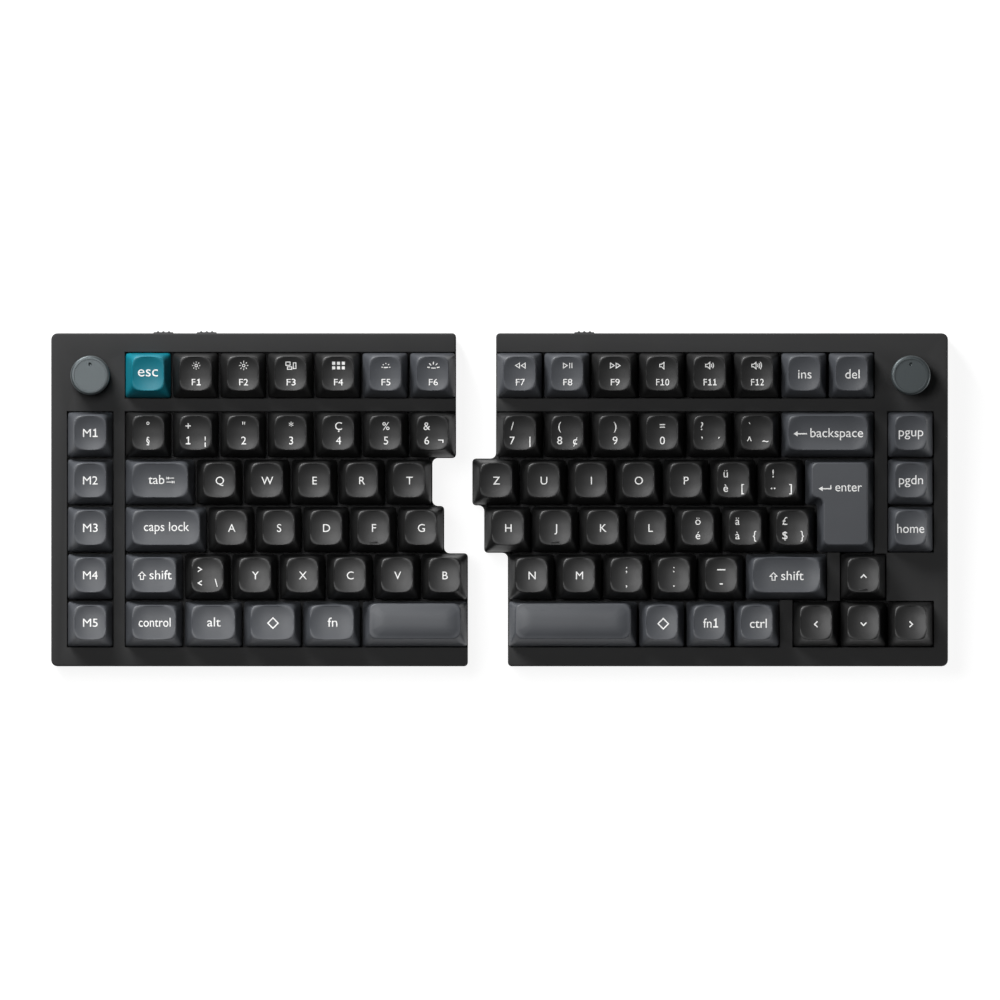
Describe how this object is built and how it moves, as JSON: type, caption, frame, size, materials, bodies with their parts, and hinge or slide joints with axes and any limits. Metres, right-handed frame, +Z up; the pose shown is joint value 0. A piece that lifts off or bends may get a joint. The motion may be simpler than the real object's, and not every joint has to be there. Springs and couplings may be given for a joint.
{
  "type": "ergonomic split keyboard",
  "caption": "Split computer keyboard in two wedge-shaped halves with stepped inner edges, sculpted key caps in staggered rows, a rotary knob on each half and slide switches at the rear.",
  "frame": {"origin": "on the desk plane, below the centre of the bounding box of the two halves at rest", "axes": "+X to the typist's right along the key rows, +Y away from the typist, +Z up"},
  "size_m": [0.3604, 0.136, 0.0423],
  "materials": {
    "case_shell": "satin black anodised, fine bead blasted",
    "plate_steel": "blackened",
    "board": "black solder mask",
    "switch_plastic": "moulded",
    "gasket_foam": "foam",
    "screw_steel": "blackened",
    "foot_rubber": "matte",
    "battery_wrap": "film wrapped",
    "encoder_metal": "plain",
    "socket_metal": "plain",
    "knob_metal": "blue grey anodised, turned",
    "slider_plastic": "moulded",
    "cap_black": "fine grained, double shot",
    "cap_grey": "fine grained, double shot",
    "cap_teal": "fine grained, double shot",
    "legend_white": "second shot of the moulding, smooth"
  },
  "bodies": {
    "left_base": {"left_top_case": "case_shell", "left_bottom_case": "case_shell", "left_switch_plate": "plate_steel", "left_circuit_board": "board", "left_switch_housings": "switch_plastic", "left_gasket_strips": "gasket_foam", "left_case_screws": "screw_steel", "left_rubber_feet": "foot_rubber", "left_battery": "battery_wrap", "left_encoder_body": "encoder_metal", "left_slide_switch_bodies": "encoder_metal", "left_port_sockets": "socket_metal"},
    "right_base": {"right_top_case": "case_shell", "right_bottom_case": "case_shell", "right_switch_plate": "plate_steel", "right_circuit_board": "board", "right_switch_housings": "switch_plastic", "right_gasket_strips": "gasket_foam", "right_case_screws": "screw_steel", "right_rubber_feet": "foot_rubber", "right_battery": "battery_wrap", "right_encoder_body": "encoder_metal", "right_slide_switch_bodies": "encoder_metal", "right_port_sockets": "socket_metal"},
    "key_escape": {"key_escape": "cap_teal"},
    "keys_f1_to_f4": {"keys_f1_to_f4": "cap_black"},
    "keys_f5_and_f6": {"keys_f5_and_f6": "cap_grey"},
    "keys_macro": {"keys_macro": "cap_grey"},
    "keys_digits_left": {"keys_digits_left": "cap_black"},
    "key_tab": {"key_tab": "cap_grey"},
    "keys_letters_q_to_t": {"keys_letters_q_to_t": "cap_black"},
    "key_caps_lock": {"key_caps_lock": "cap_grey"},
    "keys_letters_a_to_g": {"keys_letters_a_to_g": "cap_black"},
    "key_shift_left": {"key_shift_left": "cap_grey"},
    "keys_letters_y_to_b": {"keys_letters_y_to_b": "cap_black"},
    "keys_modifiers_left": {"keys_modifiers_left": "cap_grey"},
    "key_space_left": {"key_space_left": "cap_grey"},
    "mode_slider": {"mode_slider": "slider_plastic"},
    "system_slider": {"system_slider": "slider_plastic"},
    "left_encoder_plunger": {"left_encoder_plunger": "switch_plastic"},
    "left_knob": {"left_encoder_shaft": "encoder_metal", "left_knob": "knob_metal"},
    "keys_f7_and_f8": {"keys_f7_and_f8": "cap_grey"},
    "keys_f9_to_f12": {"keys_f9_to_f12": "cap_black"},
    "keys_insert_delete": {"keys_insert_delete": "cap_grey"},
    "keys_digits_right": {"keys_digits_right": "cap_black"},
    "key_backspace": {"key_backspace": "cap_grey"},
    "keys_page_column": {"keys_page_column": "cap_grey"},
    "keys_letters_z_to_p": {"keys_letters_z_to_p": "cap_black"},
    "key_enter": {"key_enter": "cap_grey"},
    "keys_letters_h_to_l": {"keys_letters_h_to_l": "cap_black"},
    "keys_letters_n_to_m": {"keys_letters_n_to_m": "cap_black"},
    "key_shift_right": {"key_shift_right": "cap_grey"},
    "keys_modifiers_right": {"keys_modifiers_right": "cap_grey"},
    "key_space_right": {"key_space_right": "cap_grey"},
    "keys_arrows": {"keys_arrows": "cap_black"},
    "power_slider": {"power_slider": "slider_plastic"},
    "right_encoder_plunger": {"right_encoder_plunger": "switch_plastic"},
    "right_knob": {"right_encoder_shaft": "encoder_metal", "right_knob": "knob_metal"}
  },
  "joints": [
    {"name": "halves_spread", "type": "slide", "parent": "left_base", "child": "right_base", "axis": [1, 0, 0], "range_m": [-0.0155, 0.2]},
    {"name": "key_escape_press", "type": "slide", "parent": "left_base", "child": "key_escape", "axis": [0, -0.0906, 0.9959], "range_m": [-0.004, 0], "stiffness_N_per_m": 60, "springref_m": 0.006},
    {"name": "keys_f1_to_f4_press", "type": "slide", "parent": "left_base", "child": "keys_f1_to_f4", "axis": [0, -0.0906, 0.9959], "range_m": [-0.004, 0], "stiffness_N_per_m": 240, "springref_m": 0.006},
    {"name": "keys_f5_and_f6_press", "type": "slide", "parent": "left_base", "child": "keys_f5_and_f6", "axis": [0, -0.0906, 0.9959], "range_m": [-0.004, 0], "stiffness_N_per_m": 120, "springref_m": 0.006},
    {"name": "keys_macro_press", "type": "slide", "parent": "left_base", "child": "keys_macro", "axis": [0, -0.0906, 0.9959], "range_m": [-0.004, 0], "stiffness_N_per_m": 300, "springref_m": 0.006},
    {"name": "keys_digits_left_press", "type": "slide", "parent": "left_base", "child": "keys_digits_left", "axis": [0, -0.0906, 0.9959], "range_m": [-0.004, 0], "stiffness_N_per_m": 420, "springref_m": 0.006},
    {"name": "key_tab_press", "type": "slide", "parent": "left_base", "child": "key_tab", "axis": [0, -0.0906, 0.9959], "range_m": [-0.004, 0], "stiffness_N_per_m": 60, "springref_m": 0.006},
    {"name": "keys_letters_q_to_t_press", "type": "slide", "parent": "left_base", "child": "keys_letters_q_to_t", "axis": [0, -0.0906, 0.9959], "range_m": [-0.004, 0], "stiffness_N_per_m": 300, "springref_m": 0.006},
    {"name": "key_caps_lock_press", "type": "slide", "parent": "left_base", "child": "key_caps_lock", "axis": [0, -0.0906, 0.9959], "range_m": [-0.004, 0], "stiffness_N_per_m": 60, "springref_m": 0.006},
    {"name": "keys_letters_a_to_g_press", "type": "slide", "parent": "left_base", "child": "keys_letters_a_to_g", "axis": [0, -0.0906, 0.9959], "range_m": [-0.004, 0], "stiffness_N_per_m": 300, "springref_m": 0.006},
    {"name": "key_shift_left_press", "type": "slide", "parent": "left_base", "child": "key_shift_left", "axis": [0, -0.0906, 0.9959], "range_m": [-0.004, 0], "stiffness_N_per_m": 60, "springref_m": 0.006},
    {"name": "keys_letters_y_to_b_press", "type": "slide", "parent": "left_base", "child": "keys_letters_y_to_b", "axis": [0, -0.0906, 0.9959], "range_m": [-0.004, 0], "stiffness_N_per_m": 360, "springref_m": 0.006},
    {"name": "keys_modifiers_left_press", "type": "slide", "parent": "left_base", "child": "keys_modifiers_left", "axis": [0, -0.0906, 0.9959], "range_m": [-0.004, 0], "stiffness_N_per_m": 240, "springref_m": 0.006},
    {"name": "key_space_left_press", "type": "slide", "parent": "left_base", "child": "key_space_left", "axis": [0, -0.0906, 0.9959], "range_m": [-0.004, 0], "stiffness_N_per_m": 60, "springref_m": 0.006},
    {"name": "mode_slider_move", "type": "slide", "parent": "left_base", "child": "mode_slider", "axis": [1, 0, 0], "range_m": [-0.002, 0.002]},
    {"name": "system_slider_move", "type": "slide", "parent": "left_base", "child": "system_slider", "axis": [1, 0, 0], "range_m": [0, 0.002]},
    {"name": "left_knob_press", "type": "slide", "parent": "left_base", "child": "left_encoder_plunger", "axis": [0, -0.0906, 0.9959], "range_m": [-0.0005, 0], "stiffness_N_per_m": 500, "springref_m": 0.002},
    {"name": "left_knob_turn", "type": "hinge", "parent": "left_encoder_plunger", "child": "left_knob", "pos_m": [-0.16448, 0.04829, 0.03189], "axis": [0, -0.0906, 0.9959], "continuous": true},
    {"name": "keys_f7_and_f8_press", "type": "slide", "parent": "right_base", "child": "keys_f7_and_f8", "axis": [0, -0.0906, 0.9959], "range_m": [-0.004, 0], "stiffness_N_per_m": 120, "springref_m": 0.006},
    {"name": "keys_f9_to_f12_press", "type": "slide", "parent": "right_base", "child": "keys_f9_to_f12", "axis": [0, -0.0906, 0.9959], "range_m": [-0.004, 0], "stiffness_N_per_m": 240, "springref_m": 0.006},
    {"name": "keys_insert_delete_press", "type": "slide", "parent": "right_base", "child": "keys_insert_delete", "axis": [0, -0.0906, 0.9959], "range_m": [-0.004, 0], "stiffness_N_per_m": 120, "springref_m": 0.006},
    {"name": "keys_digits_right_press", "type": "slide", "parent": "right_base", "child": "keys_digits_right", "axis": [0, -0.0906, 0.9959], "range_m": [-0.004, 0], "stiffness_N_per_m": 360, "springref_m": 0.006},
    {"name": "key_backspace_press", "type": "slide", "parent": "right_base", "child": "key_backspace", "axis": [0, -0.0906, 0.9959], "range_m": [-0.004, 0], "stiffness_N_per_m": 60, "springref_m": 0.006},
    {"name": "keys_page_column_press", "type": "slide", "parent": "right_base", "child": "keys_page_column", "axis": [0, -0.0906, 0.9959], "range_m": [-0.004, 0], "stiffness_N_per_m": 180, "springref_m": 0.006},
    {"name": "keys_letters_z_to_p_press", "type": "slide", "parent": "right_base", "child": "keys_letters_z_to_p", "axis": [0, -0.0906, 0.9959], "range_m": [-0.004, 0], "stiffness_N_per_m": 420, "springref_m": 0.006},
    {"name": "key_enter_press", "type": "slide", "parent": "right_base", "child": "key_enter", "axis": [0, -0.0906, 0.9959], "range_m": [-0.004, 0], "stiffness_N_per_m": 60, "springref_m": 0.006},
    {"name": "keys_letters_h_to_l_press", "type": "slide", "parent": "right_base", "child": "keys_letters_h_to_l", "axis": [0, -0.0906, 0.9959], "range_m": [-0.004, 0], "stiffness_N_per_m": 420, "springref_m": 0.006},
    {"name": "keys_letters_n_to_m_press", "type": "slide", "parent": "right_base", "child": "keys_letters_n_to_m", "axis": [0, -0.0906, 0.9959], "range_m": [-0.004, 0], "stiffness_N_per_m": 300, "springref_m": 0.006},
    {"name": "key_shift_right_press", "type": "slide", "parent": "right_base", "child": "key_shift_right", "axis": [0, -0.0906, 0.9959], "range_m": [-0.004, 0], "stiffness_N_per_m": 60, "springref_m": 0.006},
    {"name": "keys_modifiers_right_press", "type": "slide", "parent": "right_base", "child": "keys_modifiers_right", "axis": [0, -0.0906, 0.9959], "range_m": [-0.004, 0], "stiffness_N_per_m": 180, "springref_m": 0.006},
    {"name": "key_space_right_press", "type": "slide", "parent": "right_base", "child": "key_space_right", "axis": [0, -0.0906, 0.9959], "range_m": [-0.004, 0], "stiffness_N_per_m": 60, "springref_m": 0.006},
    {"name": "keys_arrows_press", "type": "slide", "parent": "right_base", "child": "keys_arrows", "axis": [0, -0.0906, 0.9959], "range_m": [-0.004, 0], "stiffness_N_per_m": 240, "springref_m": 0.006},
    {"name": "power_slider_move", "type": "slide", "parent": "right_base", "child": "power_slider", "axis": [1, 0, 0], "range_m": [0, 0.002]},
    {"name": "right_knob_press", "type": "slide", "parent": "right_base", "child": "right_encoder_plunger", "axis": [0, -0.0906, 0.9959], "range_m": [-0.0005, 0], "stiffness_N_per_m": 500, "springref_m": 0.002},
    {"name": "right_knob_turn", "type": "hinge", "parent": "right_encoder_plunger", "child": "right_knob", "pos_m": [0.16518, 0.04829, 0.03189], "axis": [0, -0.0906, 0.9959], "continuous": true}
  ]
}
